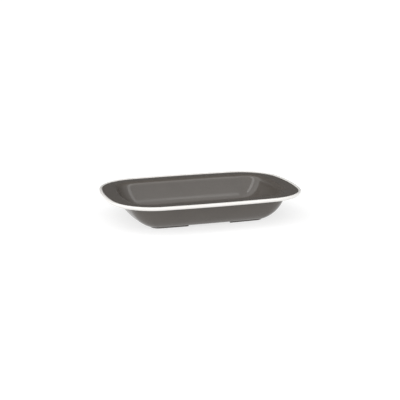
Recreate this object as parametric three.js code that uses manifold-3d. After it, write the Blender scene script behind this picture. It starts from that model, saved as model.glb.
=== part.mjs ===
// An oblong serving dish for chips and dips, in dark grey moulded melamine with a white rim.
// Four pieces: the shell with its wide flange, the white bead that closes the flange's edge,
// and two U-shaped foot rails under the ends, with a drain gap between them on both long sides.
// Millimetres, +Z up, +X along the dish. The origin is on the table, under the dish's centre.
import * as THREE from "three";
import { mergeVertices } from "three/addons/utils/BufferGeometryUtils.js";
import Module from "manifold-3d";

// Overall size, over the bead and from the table to the bead's crown
const LENGTH = 240;
const WIDTH = 161;
const HEIGHT = 36.2;

// Outline seen from above: bowed ends and sides that run into round corners
const SIDE_RADIUS = 1430; // the long sides' gentle bow
const END_RADIUS = 218; // the ends' deeper bow
const CORNER_RADIUS = 55.5; // at the rim, and tighter towards the base
const CORNER_SHRINK = 28; // inset over which a corner radius falls to 1/e of itself
const SIDE_RUN = 0.71; // the side walls run in this share of what the end walls do

// Bead
const BEAD_RADIUS = 2.1;
const BEAD_Z = HEIGHT - BEAD_RADIUS;

// Flange
const FLANGE_TOP_Z = BEAD_Z + 1.2;
const FLANGE_THICKNESS = 3;
const FLANGE_EDGE_THICKNESS = 2.4;
const SHOULDER_RADIUS = 7; // where the flange turns down into the well
const THROAT_RADIUS = 2; // under the flange, where it meets the wall

// Wall: one sweeping arc from the flange down to the base
const WALL_INSET = 20; // of the wall's outer face under the flange
const WALL_TOP_Z = BEAD_Z - 2;
const WALL_RADIUS = 40.7;
const WALL_TOP_LEAN = THREE.MathUtils.degToRad(10.8); // from upright
const WALL_THICKNESS = 3.2;
const COVE_RADIUS = 18; // inside, from the wall to the floor
const SIDE_BLEND = 11; // inset over which the side walls take up their steeper run

// Base, floor and foot rails
const FOOT_HEIGHT = 2.4;
const BASE_THICKNESS = 3;
const BASE_EDGE_RADIUS = 1.5; // where the wall's outer face turns under the base
const FLOOR_Z = FOOT_HEIGHT + BASE_THICKNESS;
const RAIL_INSET = 47.4; // of the rails' outer face at the base
const RAIL_WIDTH = 4.6;
const RAIL_DRAFT = 0.5; // each flank leans in by this much
const RAIL_EDGE_RADIUS = 0.6;
const RAIL_GAP = 52; // between the rails' ends, along both long sides

// Joints between the pieces: a tongue in a groove, with room for the adhesive all round
const FIT = 0.3;
const BEAD_TONGUE = 1.4; // how far the flange's tongue stands out of its edge, into the bead
const BEAD_TONGUE_THICKNESS = 1;
const RAIL_TONGUE_WIDTH = 2;
const RAIL_GROOVE_DEPTH = 1; // in the base

// Segments of each arc, in a quarter of the outline and in the sections
const OUTLINE_STEPS = { end: 5, corner: 9, side: 6 };
const STEPS = { cove: 5, wall: 8, shoulder: 5, throat: 3, baseEdge: 3, bead: 16, rail: 2 };

// Vertices closer than this are one vertex
const WELD = 1e-4;

const QUARTER_TURN = Math.PI / 2;
const HALF_TURN = Math.PI;

// How far the outline has moved in from the rim on the long sides when it has moved in by inset
// at the ends. Outside the wall they are equal; inside it the sides move in more slowly.
function sideInset(inset) {
  const past = Math.max(0, inset - WALL_INSET);
  const lag = past < SIDE_BLEND ? past ** 2 / (2 * SIDE_BLEND) : past - SIDE_BLEND / 2;
  return inset - (1 - SIDE_RUN) * lag;
}

// Where a circle round a meets a circle round b, on the side away from the origin.
function circlesMeet(a, radiusA, b, radiusB) {
  const apart = a.distanceTo(b);
  const along = (radiusA ** 2 - radiusB ** 2 + apart ** 2) / (2 * apart);
  const across = Math.sqrt(radiusA ** 2 - along ** 2);
  const way = b.clone().sub(a).divideScalar(apart);
  const foot = a.clone().addScaledVector(way, along);
  const aside = new THREE.Vector2(-way.y, way.x).multiplyScalar(across);
  const meeting = [foot.clone().add(aside), foot.clone().sub(aside)];
  return meeting.sort((p, q) => q.x + q.y - p.x - p.y)[0];
}

function arcPoints(centre, radius, from, to, steps) {
  const clockwise = to < from;
  const arc = new THREE.EllipseCurve(centre.x, centre.y, radius, radius, from, to, clockwise);
  return arc.getPoints(steps);
}

// One closed outline of the dish, counter-clockwise from the +X end, moved in by inset.
function outline(inset) {
  const halfLength = LENGTH / 2 - inset;
  const halfWidth = WIDTH / 2 - sideInset(inset);
  const endRadius = END_RADIUS - inset;
  const sideRadius = SIDE_RADIUS - sideInset(inset);
  const cornerRadius = CORNER_RADIUS * Math.exp(-inset / CORNER_SHRINK);
  const endCentre = new THREE.Vector2(halfLength - endRadius, 0);
  const sideCentre = new THREE.Vector2(0, halfWidth - sideRadius);
  const corner = circlesMeet(
    endCentre,
    endRadius - cornerRadius,
    sideCentre,
    sideRadius - cornerRadius,
  );
  const endAngle = corner.clone().sub(endCentre).angle();
  const sideAngle = corner.clone().sub(sideCentre).angle();
  const quarter = [
    ...arcPoints(endCentre, endRadius, 0, endAngle, OUTLINE_STEPS.end).slice(0, -1),
    ...arcPoints(corner, cornerRadius, endAngle, sideAngle, OUTLINE_STEPS.corner).slice(0, -1),
    ...arcPoints(sideCentre, sideRadius, sideAngle, QUARTER_TURN, OUTLINE_STEPS.side),
  ];
  const mirror = (points, x, y) => points.map((p) => new THREE.Vector2(p.x * x, p.y * y)).reverse();
  const half = [...quarter, ...mirror(quarter, -1, 1).slice(1)];
  return [...half, ...mirror(half, 1, -1).slice(1, -1)];
}

// A solid whose section, in inset and height, is carried round the outline. An open section runs
// from the middle of the dish back to the middle, and each of its ends is closed by a fan.
function carryRound(section, isLoop) {
  const rings = section.map(({ x: inset, y: z }) =>
    outline(inset).map((p) => new THREE.Vector3(p.x, p.y, z)),
  );
  const count = rings[0].length;
  const vertices = rings.flat();
  const triangles = [];
  const bands = isLoop ? rings.length : rings.length - 1;
  for (let i = 0; i < bands; i++) {
    const here = i * count;
    const next = ((i + 1) % rings.length) * count;
    for (let j = 0; j < count; j++) {
      const k = (j + 1) % count;
      triangles.push(here + j, next + j, next + k, here + j, next + k, here + k);
    }
  }
  if (!isLoop) {
    const last = (rings.length - 1) * count;
    const first = vertices.push(new THREE.Vector3(0, 0, section[0].y)) - 1;
    const end = vertices.push(new THREE.Vector3(0, 0, section.at(-1).y)) - 1;
    for (let j = 0; j < count; j++) {
      const k = (j + 1) % count;
      triangles.push(first, j, k, end, last + k, last + j);
    }
  }
  return new THREE.BufferGeometry().setFromPoints(vertices).setIndex(triangles);
}

const wasm = await Module();
wasm.setup();

function toSolid(geometry) {
  const bare = new THREE.BufferGeometry()
    .setAttribute("position", geometry.getAttribute("position"))
    .setIndex(geometry.getIndex());
  const merged = mergeVertices(bare, WELD);
  const mesh = new wasm.Mesh({
    numProp: 3,
    vertProperties: merged.getAttribute("position").array,
    triVerts: new Uint32Array(merged.getIndex().array),
  });
  return new wasm.Manifold(mesh);
}

function toGeometry(solid) {
  const { vertProperties, triVerts } = solid.getMesh();
  return new THREE.BufferGeometry()
    .setAttribute("position", new THREE.BufferAttribute(vertProperties, 3))
    .setIndex(new THREE.BufferAttribute(triVerts, 1));
}

const point = (inset, z) => new THREE.Vector2(inset, z);

// The circle that the wall's outer face follows, in inset and height.
const wallCentre = point(
  WALL_INSET + WALL_RADIUS * Math.cos(WALL_TOP_LEAN),
  WALL_TOP_Z + WALL_RADIUS * Math.sin(WALL_TOP_LEAN),
);

// The centre of a round of the given radius that touches a level face at height z from below,
// and the wall circle from outside. angle is where it touches the wall, as seen from there.
function roundUnder(z, radius, wallRadius) {
  const drop = wallCentre.y - (z - radius);
  const reach = Math.sqrt((wallRadius + radius) ** 2 - drop ** 2);
  return { centre: point(wallCentre.x - reach, z - radius), angle: Math.atan2(drop, reach) };
}

// The bead's upright inner face, which reaches up to the flange's top, and the flange's edge by it.
const beadFace = BEAD_RADIUS + Math.sqrt(BEAD_RADIUS ** 2 - (FLANGE_TOP_Z - BEAD_Z) ** 2);
const flangeEdge = beadFace + FIT;

function upperFace() {
  const innerRadius = WALL_RADIUS - WALL_THICKNESS;
  const shoulder = roundUnder(FLANGE_TOP_Z, SHOULDER_RADIUS, innerRadius);
  // The cove touches the floor and the inner wall: its centre is on the wall circle's radius.
  const fall = wallCentre.y - FLOOR_Z - COVE_RADIUS;
  const coveAngle = Math.asin(fall / (innerRadius - COVE_RADIUS));
  const coveCentre = point(
    wallCentre.x - (innerRadius - COVE_RADIUS) * Math.cos(coveAngle),
    FLOOR_Z + COVE_RADIUS,
  );
  const low = HALF_TURN + coveAngle;
  const high = HALF_TURN + shoulder.angle;
  const { centre, angle } = shoulder;
  return [
    ...arcPoints(coveCentre, COVE_RADIUS, HALF_TURN + QUARTER_TURN, low, STEPS.cove),
    ...arcPoints(wallCentre, innerRadius, low, high, STEPS.wall).slice(1),
    ...arcPoints(centre, SHOULDER_RADIUS, angle, QUARTER_TURN, STEPS.shoulder).slice(1),
  ];
}

function flangeTongue() {
  const tip = flangeEdge - BEAD_TONGUE;
  const half = BEAD_TONGUE_THICKNESS / 2;
  return [
    point(flangeEdge, FLANGE_TOP_Z),
    point(flangeEdge, BEAD_Z + half),
    point(tip, BEAD_Z + half),
    point(tip, BEAD_Z - half),
    point(flangeEdge, BEAD_Z - half),
    point(flangeEdge, FLANGE_TOP_Z - FLANGE_EDGE_THICKNESS),
  ];
}

function lowerFace() {
  const throat = roundUnder(FLANGE_TOP_Z - FLANGE_THICKNESS, THROAT_RADIUS, WALL_RADIUS);
  // The base edge's round lies inside the wall circle and touches it and the base's underside.
  const reach = WALL_RADIUS - BASE_EDGE_RADIUS;
  const drop = wallCentre.y - FOOT_HEIGHT - BASE_EDGE_RADIUS;
  const edgeAngle = Math.asin(drop / reach);
  const edge = point(wallCentre.x - reach * Math.cos(edgeAngle), wallCentre.y - drop);
  const high = HALF_TURN + throat.angle;
  const low = HALF_TURN + edgeAngle;
  const down = HALF_TURN + QUARTER_TURN;
  return [
    ...arcPoints(throat.centre, THROAT_RADIUS, QUARTER_TURN, throat.angle, STEPS.throat),
    ...arcPoints(wallCentre, WALL_RADIUS, high, low, STEPS.wall).slice(1),
    ...arcPoints(edge, BASE_EDGE_RADIUS, low, down, STEPS.baseEdge).slice(1),
  ];
}

// The top corners of a rail's tongue, from the inside out. With spare room all round it they are
// the top corners of the groove in the base.
function railTongue(spare) {
  const middle = RAIL_INSET + RAIL_WIDTH / 2;
  const half = RAIL_TONGUE_WIDTH / 2 + spare;
  const top = FOOT_HEIGHT + RAIL_GROOVE_DEPTH - FIT + spare;
  return [point(middle + half, top), point(middle - half, top)];
}

function railSection() {
  const outer = RAIL_INSET;
  const inner = RAIL_INSET + RAIL_WIDTH;
  const shelf = FOOT_HEIGHT - FIT;
  const [tongueIn, tongueOut] = railTongue(0);
  const round = RAIL_EDGE_RADIUS;
  const down = HALF_TURN + QUARTER_TURN;
  const outerEdge = point(outer + RAIL_DRAFT + round, round);
  const innerEdge = point(inner - RAIL_DRAFT - round, round);
  return [
    tongueIn,
    tongueOut,
    point(tongueOut.x, shelf),
    point(outer, shelf),
    ...arcPoints(outerEdge, round, HALF_TURN, down, STEPS.rail),
    ...arcPoints(innerEdge, round, down, 2 * HALF_TURN, STEPS.rail),
    point(inner, shelf),
    point(tongueIn.x, shelf),
  ];
}

// What a ring has beyond the drain gap at one end of the dish: way is 1 for +X and -1 for -X.
function atEnd(ring, way, gap) {
  const box = new THREE.BoxGeometry(LENGTH, WIDTH, HEIGHT);
  box.translate((way * (LENGTH + gap)) / 2, 0, 0);
  return ring.intersect(toSolid(box));
}

function makeShell() {
  const whole = toSolid(carryRound([...upperFace(), ...flangeTongue(), ...lowerFace()], false));
  const [inside, outside] = railTongue(FIT);
  const bottom = FOOT_HEIGHT - RAIL_GROOVE_DEPTH;
  const groove = toSolid(
    carryRound([inside, outside, point(outside.x, bottom), point(inside.x, bottom)], true),
  );
  return [1, -1].reduce(
    (shell, way) => shell.subtract(atEnd(groove, way, RAIL_GAP - 2 * FIT)),
    whole,
  );
}

function makeBead() {
  const lip = Math.asin((FLANGE_TOP_Z - BEAD_Z) / BEAD_RADIUS);
  const slotHalf = BEAD_TONGUE_THICKNESS / 2 + FIT;
  const slotEnd = flangeEdge - BEAD_TONGUE - FIT;
  const centre = point(BEAD_RADIUS, BEAD_Z);
  return toSolid(
    carryRound(
      [
        ...arcPoints(centre, BEAD_RADIUS, lip, 2 * HALF_TURN - lip, STEPS.bead),
        point(beadFace, BEAD_Z - slotHalf),
        point(slotEnd, BEAD_Z - slotHalf),
        point(slotEnd, BEAD_Z + slotHalf),
        point(beadFace, BEAD_Z + slotHalf),
      ],
      true,
    ),
  );
}

function makeRail(way) {
  return atEnd(toSolid(carryRound(railSection(), true)), way, RAIL_GAP);
}

function glossyGrey() {
  return new THREE.MeshStandardMaterial({ color: 0x5e5a53, roughness: 0.2, metalness: 0 });
}

function glossyWhite() {
  return new THREE.MeshStandardMaterial({ color: 0xf4f2ec, roughness: 0.25, metalness: 0 });
}

function satinDarkGrey() {
  return new THREE.MeshStandardMaterial({ color: 0x4b4845, roughness: 0.5, metalness: 0 });
}

function piece(name, solid, material) {
  const mesh = new THREE.Mesh(toGeometry(solid), material);
  mesh.name = name;
  return mesh;
}

const dish = new THREE.Group();
dish.add(
  piece("dish_shell", makeShell(), glossyGrey()),
  piece("rim_bead", makeBead(), glossyWhite()),
  piece("foot_rail_right", makeRail(1), satinDarkGrey()),
  piece("foot_rail_left", makeRail(-1), satinDarkGrey()),
);

export default dish;
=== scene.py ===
import math

import bmesh
import bpy
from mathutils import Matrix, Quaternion, Vector


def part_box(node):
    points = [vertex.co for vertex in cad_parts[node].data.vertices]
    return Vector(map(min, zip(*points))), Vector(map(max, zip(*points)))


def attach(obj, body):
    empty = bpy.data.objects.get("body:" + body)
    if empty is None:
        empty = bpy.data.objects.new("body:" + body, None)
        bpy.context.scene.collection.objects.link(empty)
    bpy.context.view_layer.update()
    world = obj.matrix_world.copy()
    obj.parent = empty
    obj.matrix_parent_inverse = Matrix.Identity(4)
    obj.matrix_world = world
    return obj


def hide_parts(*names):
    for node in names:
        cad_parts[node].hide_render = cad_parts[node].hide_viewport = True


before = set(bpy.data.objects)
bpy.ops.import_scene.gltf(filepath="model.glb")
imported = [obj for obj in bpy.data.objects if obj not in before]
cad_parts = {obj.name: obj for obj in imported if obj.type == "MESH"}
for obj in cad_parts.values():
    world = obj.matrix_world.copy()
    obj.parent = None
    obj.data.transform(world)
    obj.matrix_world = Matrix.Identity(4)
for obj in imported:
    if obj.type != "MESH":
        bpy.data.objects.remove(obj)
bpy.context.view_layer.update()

# An oblong serving dish in glossy dark grey melamine with a white rolled rim. Every surface is
# a section, in inset from the rim and height, carried round the outline of the dish. Metres.

MM = 0.001

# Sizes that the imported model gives
RIM_LOW, RIM_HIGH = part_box("rim_bead")
SHELL_LOW, SHELL_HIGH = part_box("dish_shell")
RAIL_LOW, RAIL_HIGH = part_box("foot_rail_right")
LENGTH = RIM_HIGH.x - RIM_LOW.x
WIDTH = RIM_HIGH.y - RIM_LOW.y
BEAD_RADIUS = (RIM_HIGH.z - RIM_LOW.z) / 2
BEAD_Z = (RIM_HIGH.z + RIM_LOW.z) / 2
FLANGE_TOP = SHELL_HIGH.z
BASE_Z = SHELL_LOW.z
GAP_HALF = RAIL_LOW.x
RAIL_INSET = LENGTH / 2 - RAIL_HIGH.x

# The outline and how it changes with the inset
SIDE_RADIUS = 1430 * MM
END_RADIUS = 218 * MM
CORNER_RADIUS = 55.5 * MM
CORNER_SHRINK = 28 * MM
SIDE_RUN = 0.71
SIDE_BLEND = 11 * MM

# The section
WALL_INSET = 20 * MM
WALL_RADIUS = 40.7 * MM
WALL_TOP_LEAN = math.radians(10.8)
WALL_TOP = BEAD_Z - 2 * MM  # where WALL_INSET and WALL_TOP_LEAN hold
WALL_THICKNESS = 3.2 * MM
COVE_RADIUS = 18 * MM
CAP_INSET = 72 * MM  # of the innermost ring of the floor and the base
FLOOR_Z = BASE_Z + 3 * MM
SHOULDER_RADIUS = 7 * MM
FLANGE_THICKNESS = 3 * MM
THROAT_RADIUS = 2 * MM
BASE_EDGE_RADIUS = 1.5 * MM
RAIL_WIDTH = 4.6 * MM
RAIL_DRAFT = 0.5 * MM
RAIL_EDGE_RADIUS = 0.7 * MM
SEAM = 0.04 * MM  # between pieces that touch
SHARP_ANGLE = math.radians(35)  # edges over it stay sharp in the shading

# The grain of the materials
MELAMINE_IOR = 1.5
CLOUD_SIZE = 30 * MM
FLECK_SIZE = 0.7 * MM
FLECK_RANGE = (0.62, 0.74)  # of the noise, from none to a full fleck
CLOUD_RANGE = (0.3, 0.7)
WIPE_RANGE = (0.35, 0.7)
GRAIN_RANGE = (0.35, 0.65)
GRAIN_SIZE = 0.5 * MM
GRAIN_DEPTH = 0.002 * MM
PEEL_SIZE = 4 * MM
PEEL_DEPTH = 0.012 * MM
WIPE_SIZE = 18 * MM
WIPE_STRETCH = (0.35, 1, 1)
SATIN_ROUGHNESS = (0.38, 0.52)
SATIN_DEPTH = 0.01 * MM

# The studio
CAMERA_AZIMUTH = math.radians(-17.515)
CAMERA_ELEVATION = math.radians(13.444)
CAMERA_DISTANCE = 1.1156
CAMERA_LENS = 82.67
SENSOR_WIDTH = 36
CAMERA_NEAR = 0.01
CAMERA_TILT = math.radians(0.664)
CAMERA_PAN = math.radians(0.016)
FLOOR_SIZE = 60
FLOOR_CLEARANCE = 0.05 * MM  # so that the floor and the rails' undersides don't coincide
FLOOR_GLOW = 0.7
FLOOR_SHADE = 0.35
FLOOR_ROUGHNESS = 0.9

# Brightness by compass direction in degrees: 0 is the -Y side and 90 the +X side
STUDIO_PEAK = 2.0
STUDIO = (
    (-180, 0.12), (-158, 0.15), (-142, 0.5), (-131, 1.6), (-104, 1.9), (-88, 1.7),
    (-50, 1.65), (0, 1.7), (28, 1.8), (54, 1.7), (63, 1.1), (80, 0.8), (100, 0.4),
    (120, 0.12), (180, 0.12),
)
SOFTBOX_DISTANCE = 1.6
SOFTBOX_HALF_HEIGHT = math.radians(31)
SOFTBOXES = (
    # name, azimuth, half its width, brightness
    ("softbox_left", math.radians(-78), math.radians(8), 2.0),
    ("softbox_right", math.radians(42), math.radians(9), 1.2),
)

QUARTER_TURN = math.pi / 2
HALF_TURN = math.pi

OUTLINE_STEPS = {"end": 12, "corner": 22, "side": 16}
SECTION_STEPS = {
    "cap": 4, "cove": 20, "inner_wall": 24, "shoulder": 14, "flange": 6, "throat": 8,
    "outer_wall": 30, "base_edge": 8, "bead": 28, "rail_edge": 6,
}


def side_inset(inset):
    """The outline's move inwards on the long sides when it has moved in by inset at the ends."""
    past = max(0.0, inset - WALL_INSET)
    lag = past**2 / (2 * SIDE_BLEND) if past < SIDE_BLEND else past - SIDE_BLEND / 2
    return inset - (1 - SIDE_RUN) * lag


def circles_meet(a, radius_a, b, radius_b):
    """Where two circles meet, on the side away from the origin."""
    apart = (b - a).length
    along = (radius_a**2 - radius_b**2 + apart**2) / (2 * apart)
    across = math.sqrt(radius_a**2 - along**2)
    way = (b - a) / apart
    foot = a + way * along
    aside = Vector((-way.y, way.x)) * across
    return max((foot + aside, foot - aside), key=lambda p: p.x + p.y)


def arc(centre, radius, start, stop, steps):
    """Points along an arc, both ends included."""
    angles = [start + (stop - start) * i / steps for i in range(steps + 1)]
    return [centre + radius * Vector((math.cos(t), math.sin(t))) for t in angles]


def outline(inset):
    """One closed outline of the dish, counter-clockwise from the +X end, moved in by inset."""
    half_length = LENGTH / 2 - inset
    half_width = WIDTH / 2 - side_inset(inset)
    end_radius = END_RADIUS - inset
    side_radius = SIDE_RADIUS - side_inset(inset)
    corner_radius = CORNER_RADIUS * math.exp(-inset / CORNER_SHRINK)
    end_centre = Vector((half_length - end_radius, 0))
    side_centre = Vector((0, half_width - side_radius))
    corner = circles_meet(
        end_centre, end_radius - corner_radius, side_centre, side_radius - corner_radius
    )
    to_end = corner - end_centre
    to_side = corner - side_centre
    end_angle = math.atan2(to_end.y, to_end.x)
    side_angle = math.atan2(to_side.y, to_side.x)
    steps = OUTLINE_STEPS
    quarter = arc(end_centre, end_radius, 0, end_angle, steps["end"])[:-1]
    quarter += arc(corner, corner_radius, end_angle, side_angle, steps["corner"])[:-1]
    quarter += arc(side_centre, side_radius, side_angle, QUARTER_TURN, steps["side"])
    half = quarter + [Vector((-p.x, p.y)) for p in reversed(quarter)][1:]
    return half + [Vector((p.x, -p.y)) for p in reversed(half)][1:-1]


WALL_CENTRE = Vector(
    (
        WALL_INSET + WALL_RADIUS * math.cos(WALL_TOP_LEAN),
        WALL_TOP + WALL_RADIUS * math.sin(WALL_TOP_LEAN),
    )
)


def round_under(z, radius, wall_radius):
    """A round that touches a level face at z from below and the wall circle from outside."""
    drop = WALL_CENTRE.y - (z - radius)
    reach = math.sqrt((wall_radius + radius) ** 2 - drop**2)
    return Vector((WALL_CENTRE.x - reach, z - radius)), math.atan2(drop, reach)


def level_steps(start, stop, steps):
    """Points along a straight stretch of a section, without its last."""
    return [start.lerp(stop, i / steps) for i in range(steps)]


def shell_section():
    """The shell's section, from the middle of the floor over the flange to the base's middle."""
    steps = SECTION_STEPS
    inner = WALL_RADIUS - WALL_THICKNESS
    shoulder, shoulder_angle = round_under(FLANGE_TOP, SHOULDER_RADIUS, inner)
    cove_angle = math.asin((WALL_CENTRE.y - FLOOR_Z - COVE_RADIUS) / (inner - COVE_RADIUS))
    reach = inner - COVE_RADIUS
    cove = WALL_CENTRE - reach * Vector((math.cos(cove_angle), math.sin(cove_angle)))
    low = HALF_TURN + cove_angle
    high = HALF_TURN + shoulder_angle
    floor_edge = cove - Vector((0, COVE_RADIUS))
    points = level_steps(Vector((CAP_INSET, FLOOR_Z)), floor_edge, steps["cap"])
    points += arc(cove, COVE_RADIUS, HALF_TURN + QUARTER_TURN, low, steps["cove"])
    points += arc(WALL_CENTRE, inner, low, high, steps["inner_wall"])[1:]
    points += arc(shoulder, SHOULDER_RADIUS, shoulder_angle, QUARTER_TURN, steps["shoulder"])[1:]
    edge = BEAD_RADIUS + math.sqrt(BEAD_RADIUS**2 - (FLANGE_TOP - BEAD_Z) ** 2) + SEAM
    lip = Vector((edge, FLANGE_TOP))
    points += level_steps(points[-1], lip, steps["flange"])[1:] + [lip]
    throat, throat_angle = round_under(FLANGE_TOP - FLANGE_THICKNESS, THROAT_RADIUS, WALL_RADIUS)
    high = HALF_TURN + throat_angle
    reach = WALL_RADIUS - BASE_EDGE_RADIUS
    edge_angle = math.asin((WALL_CENTRE.y - BASE_Z - BASE_EDGE_RADIUS) / reach)
    low = HALF_TURN + edge_angle
    base_edge = WALL_CENTRE - reach * Vector((math.cos(edge_angle), math.sin(edge_angle)))
    under_lip = Vector((edge, 2 * BEAD_Z - FLANGE_TOP))
    throat_top = throat + Vector((0, THROAT_RADIUS))
    points += level_steps(under_lip, throat_top, steps["flange"])
    points += arc(throat, THROAT_RADIUS, QUARTER_TURN, throat_angle, steps["throat"])
    points += arc(WALL_CENTRE, WALL_RADIUS, high, low, steps["outer_wall"])[1:]
    down = HALF_TURN + QUARTER_TURN
    points += arc(base_edge, BASE_EDGE_RADIUS, low, down, steps["base_edge"])[1:]
    points += reversed(level_steps(Vector((CAP_INSET, BASE_Z)), points[-1], steps["cap"]))
    return points


def carry_round(section, is_loop):
    """A mesh whose section is carried round the outline, its middle closed unless it's a loop."""
    mesh = bmesh.new()
    rings = [[mesh.verts.new((p.x, p.y, q.y)) for p in outline(q.x)] for q in section]
    count = len(rings[0])
    pairs = list(zip(rings, rings[1:])) + ([(rings[-1], rings[0])] if is_loop else [])
    for here, beyond in pairs:
        for j in range(count):
            k = (j + 1) % count
            mesh.faces.new((here[j], beyond[j], beyond[k], here[k]))
    if not is_loop:
        mesh.faces.new(rings[0])
        mesh.faces.new(list(reversed(rings[-1])))
    return mesh


def add_piece(name, mesh, material, slot, *nodes):
    """Links a mesh as a smooth-shaded piece that rides on the dish and stands for CAD nodes."""
    data = bpy.data.meshes.new(name)
    mesh.normal_update()
    mesh.to_mesh(data)
    mesh.free()
    data.materials.append(material)
    data.shade_smooth()
    data.set_sharp_from_angle(angle=SHARP_ANGLE)
    piece = bpy.data.objects.new(name, data)
    bpy.context.scene.collection.objects.link(piece)
    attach(piece, "root")
    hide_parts(*nodes)
    return piece


def bead_section():
    """The bead's section, a circle with a flat where it meets the flange's edge."""
    lip = math.asin((FLANGE_TOP - BEAD_Z) / BEAD_RADIUS)
    centre = Vector((BEAD_RADIUS, BEAD_Z))
    return arc(centre, BEAD_RADIUS, lip, 2 * HALF_TURN - lip, SECTION_STEPS["bead"])


def rail_section():
    """A foot rail's section, with a little draft and rounded lower edges."""
    steps = SECTION_STEPS["rail_edge"]
    outer = RAIL_INSET
    inner = RAIL_INSET + RAIL_WIDTH
    top = BASE_Z - SEAM
    r = RAIL_EDGE_RADIUS
    down = HALF_TURN + QUARTER_TURN
    points = [Vector((inner, top)), Vector((outer, top))]
    points += arc(Vector((outer + RAIL_DRAFT + r, r)), r, HALF_TURN, down, steps)
    points += arc(Vector((inner - RAIL_DRAFT - r, r)), r, down, 2 * HALF_TURN, steps)
    return points


def new_material(name):
    """A new material, its Principled shader and the object coordinates for its pattern."""
    material = bpy.data.materials.new(name)
    material.use_nodes = True
    nodes = material.node_tree.nodes
    place = nodes.new("ShaderNodeTexCoord").outputs["Object"]
    return material, nodes["Principled BSDF"], place


def join(tree, source, target):
    """Wires one socket to another."""
    tree.links.new(source, target)


def noise(tree, place, size, detail=2.0, stretch=(1, 1, 1)):
    """Noise whose features are about size across, from 0 to 1."""
    scaled = tree.nodes.new("ShaderNodeVectorMath")
    scaled.operation = "MULTIPLY"
    scaled.inputs[1].default_value = stretch
    join(tree, place, scaled.inputs[0])
    texture = tree.nodes.new("ShaderNodeTexNoise")
    texture.inputs["Scale"].default_value = 1 / size
    texture.inputs["Detail"].default_value = detail
    join(tree, scaled.outputs[0], texture.inputs["Vector"])
    return texture.outputs["Fac"]


def between(tree, value, low, high, start=0.0, stop=1.0):
    """The value, moved from the range low to high to the range start to stop."""
    mapped = tree.nodes.new("ShaderNodeMapRange")
    for name, number in (
        ("From Min", low),
        ("From Max", high),
        ("To Min", start),
        ("To Max", stop),
    ):
        mapped.inputs[name].default_value = number
    join(tree, value, mapped.inputs["Value"])
    return mapped.outputs["Result"]


def mixed(tree, share, first, second):
    """A colour from first to second, each a colour or the output of another mix."""
    mix = tree.nodes.new("ShaderNodeMix")
    mix.data_type = "RGBA"
    join(tree, share, mix.inputs["Factor"])
    for colour, socket in ((first, mix.inputs[6]), (second, mix.inputs[7])):
        if isinstance(colour, bpy.types.NodeSocket):
            join(tree, colour, socket)
        else:
            socket.default_value = (*colour, 1)
    return mix.outputs[2]


def bump(tree, height, depth, below=None):
    """A bump whose full height is depth metres, on top of the bump below."""
    node = tree.nodes.new("ShaderNodeBump")
    node.inputs["Distance"].default_value = depth
    join(tree, height, node.inputs["Height"])
    if below is not None:
        join(tree, below, node.inputs["Normal"])
    return node.outputs["Normal"]


def calculated(tree, operation, first, second):
    """A sum, product or angle of two values. The second may be a plain number."""
    node = tree.nodes.new("ShaderNodeMath")
    node.operation = operation
    join(tree, first, node.inputs[0])
    if isinstance(second, bpy.types.NodeSocket):
        join(tree, second, node.inputs[1])
    else:
        node.inputs[1].default_value = second
    return node.outputs[0]


def glossy_melamine(name, colour, deeper, fleck, smooth, rough):
    """Pressed melamine: cloudy pigment, fine flecks, a faint orange peel and wiped patches."""
    material, shader, place = new_material(name)
    tree = material.node_tree
    clouds = between(tree, noise(tree, place, CLOUD_SIZE, 3), *CLOUD_RANGE)
    flecks = between(tree, noise(tree, place, FLECK_SIZE, 1), *FLECK_RANGE)
    tinted = mixed(tree, clouds, colour, deeper)
    join(tree, mixed(tree, flecks, tinted, fleck), shader.inputs["Base Color"])
    fine = noise(tree, place, GRAIN_SIZE, 2)
    wipes = noise(tree, place, WIPE_SIZE, 3, WIPE_STRETCH)
    wiped = between(tree, wipes, *WIPE_RANGE, smooth, rough)
    grainy = between(tree, fine, *GRAIN_RANGE, 0, rough - smooth)
    join(tree, calculated(tree, "ADD", wiped, grainy), shader.inputs["Roughness"])
    peel = bump(tree, noise(tree, place, PEEL_SIZE, 1), PEEL_DEPTH)
    join(tree, bump(tree, fine, GRAIN_DEPTH, peel), shader.inputs["Normal"])
    shader.inputs["IOR"].default_value = MELAMINE_IOR
    return material


def satin_melamine(name, colour, scuffed):
    """Blasted-mould satin for the foot rails, rubbed paler on the faces that meet the table."""
    material, shader, place = new_material(name)
    tree = material.node_tree
    parts = tree.nodes.new("ShaderNodeSeparateXYZ")
    join(tree, place, parts.inputs[0])
    low = between(tree, parts.outputs["Z"], RAIL_EDGE_RADIUS, 0)
    speckle = between(tree, noise(tree, place, GRAIN_SIZE, 3), *GRAIN_RANGE)
    rubbed = calculated(tree, "MULTIPLY", low, speckle)
    join(tree, mixed(tree, rubbed, colour, scuffed), shader.inputs["Base Color"])
    join(tree, between(tree, speckle, 0, 1, *SATIN_ROUGHNESS), shader.inputs["Roughness"])
    join(tree, bump(tree, speckle, SATIN_DEPTH), shader.inputs["Normal"])
    shader.inputs["IOR"].default_value = MELAMINE_IOR
    return material


def cut_rail(ring, way):
    """Keeps a ring's part beyond the drain gap at one end and closes its two cut faces."""
    geometry = ring.verts[:] + ring.edges[:] + ring.faces[:]
    cut = bmesh.ops.bisect_plane(
        ring,
        geom=geometry,
        plane_co=(way * GAP_HALF, 0, 0),
        plane_no=(-way, 0, 0),
        clear_outer=True,
    )
    edges = [e for e in cut["geom_cut"] if isinstance(e, bmesh.types.BMEdge)]
    bmesh.ops.holes_fill(ring, edges=edges)
    return ring


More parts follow.
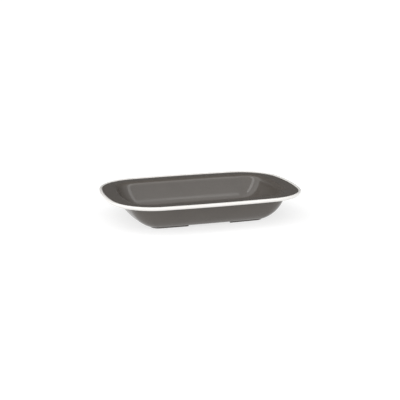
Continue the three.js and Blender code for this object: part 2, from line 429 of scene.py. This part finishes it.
grey = glossy_melamine(
    "grey_melamine",
    colour=(0.076, 0.0665, 0.058),
    deeper=(0.070, 0.061, 0.053),
    fleck=(0.094, 0.083, 0.074),
    smooth=0.07,
    rough=0.12,
)
white = glossy_melamine(
    "white_melamine",
    colour=(0.635, 0.622, 0.604),
    deeper=(0.612, 0.598, 0.577),
    fleck=(0.580, 0.562, 0.535),
    smooth=0.12,
    rough=0.2,
)
dark = satin_melamine("rail_melamine", colour=(0.05, 0.043, 0.037), scuffed=(0.10, 0.09, 0.08))

add_piece("shell", carry_round(shell_section(), False), grey, "shell", "dish_shell")
add_piece("rim", carry_round(bead_section(), True), white, "bead", "rim_bead")
for way, side in ((1, "right"), (-1, "left")):
    rail = cut_rail(carry_round(rail_section(), True), way)
    add_piece("rail_" + side, rail, dark, "rail", "foot_rail_" + side)


def make_floor():
    """A pale floor that glows, so that it stays nearly white under the dish."""
    bpy.ops.mesh.primitive_plane_add(size=FLOOR_SIZE, location=(0, 0, -FLOOR_CLEARANCE))
    floor = bpy.context.object
    floor.name = "floor"
    material, shader, _ = new_material("floor")
    shader.inputs["Base Color"].default_value = (*[FLOOR_SHADE] * 3, 1)
    shader.inputs["Roughness"].default_value = FLOOR_ROUGHNESS
    shader.inputs["Specular IOR Level"].default_value = 0
    shader.inputs["Emission Color"].default_value = (1, 1, 1, 1)
    shader.inputs["Emission Strength"].default_value = FLOOR_GLOW
    floor.data.materials.append(material)


def direction(azimuth, elevation):
    """A unit vector. Azimuth 0 is the -Y side of the dish and a right angle its +X side."""
    level = math.cos(elevation)
    return Vector(
        (math.sin(azimuth) * level, -math.cos(azimuth) * level, math.sin(elevation))
    )


def make_camera():
    """The camera, a little above the dish and to the left of its -Y side."""
    data = bpy.data.cameras.new("camera")
    data.lens = CAMERA_LENS
    data.sensor_width = SENSOR_WIDTH
    data.clip_start = CAMERA_NEAR
    data.clip_end = 2 * FLOOR_SIZE
    camera = bpy.data.objects.new("camera", data)
    back = direction(CAMERA_AZIMUTH, CAMERA_ELEVATION)
    camera.location = Vector((0, 0, BEAD_Z)) + CAMERA_DISTANCE * back
    camera.rotation_mode = "QUATERNION"
    level = (-back).to_track_quat("-Z", "Y")
    tilt = Quaternion((1, 0, 0), -CAMERA_TILT)
    camera.rotation_quaternion = level @ tilt @ Quaternion((0, 1, 0), -CAMERA_PAN)
    bpy.context.scene.collection.objects.link(camera)
    bpy.context.scene.camera = camera


def make_world():
    """Soft light from all round the front of a studio that is dark behind the dish."""
    world = bpy.data.worlds.new("studio")
    world.use_nodes = True
    tree = world.node_tree
    parts = tree.nodes.new("ShaderNodeSeparateXYZ")
    join(tree, tree.nodes.new("ShaderNodeTexCoord").outputs["Generated"], parts.inputs[0])
    forward = calculated(tree, "MULTIPLY", parts.outputs["Y"], -1)
    compass = calculated(tree, "ARCTAN2", parts.outputs["X"], forward)
    ramp = tree.nodes.new("ShaderNodeValToRGB")
    join(tree, between(tree, compass, -HALF_TURN, HALF_TURN), ramp.inputs["Fac"])
    stops = ramp.color_ramp.elements
    for azimuth, brightness in STUDIO:
        place = (azimuth + 180) / 360
        stop = {0: stops[0], 1: stops[-1]}.get(place) or stops.new(place)
        stop.color = (*[brightness / STUDIO_PEAK] * 3, 1)
    # The backdrop past the floor's edge is as pale as the floor
    seen = tree.nodes.new("ShaderNodeLightPath").outputs["Is Camera Ray"]
    pale = (1 / STUDIO_PEAK,) * 3
    background = tree.nodes["Background"]
    join(tree, mixed(tree, seen, ramp.outputs["Color"], pale), background.inputs["Color"])
    background.inputs["Strength"].default_value = STUDIO_PEAK
    bpy.context.scene.world = world


def make_softboxes():
    """Two tall soft lights, which show as upright bright strips in the glossy corners."""
    for name, azimuth, half_width, brightness in SOFTBOXES:
        way = direction(azimuth, SOFTBOX_HALF_HEIGHT)
        data = bpy.data.lights.new(name, "AREA")
        data.shape = "RECTANGLE"
        data.size = 2 * SOFTBOX_DISTANCE * math.tan(half_width)
        data.size_y = 2 * SOFTBOX_DISTANCE * math.tan(SOFTBOX_HALF_HEIGHT)
        data.energy = math.pi * data.size * data.size_y * brightness
        light = bpy.data.objects.new(name, data)
        light.location = SOFTBOX_DISTANCE * way
        light.rotation_mode = "QUATERNION"
        light.rotation_quaternion = way.to_track_quat("Z", "Y")
        light.visible_camera = False
        bpy.context.scene.collection.objects.link(light)


make_floor()
make_camera()
make_world()
make_softboxes()
bpy.context.scene.view_settings.view_transform = "Standard"
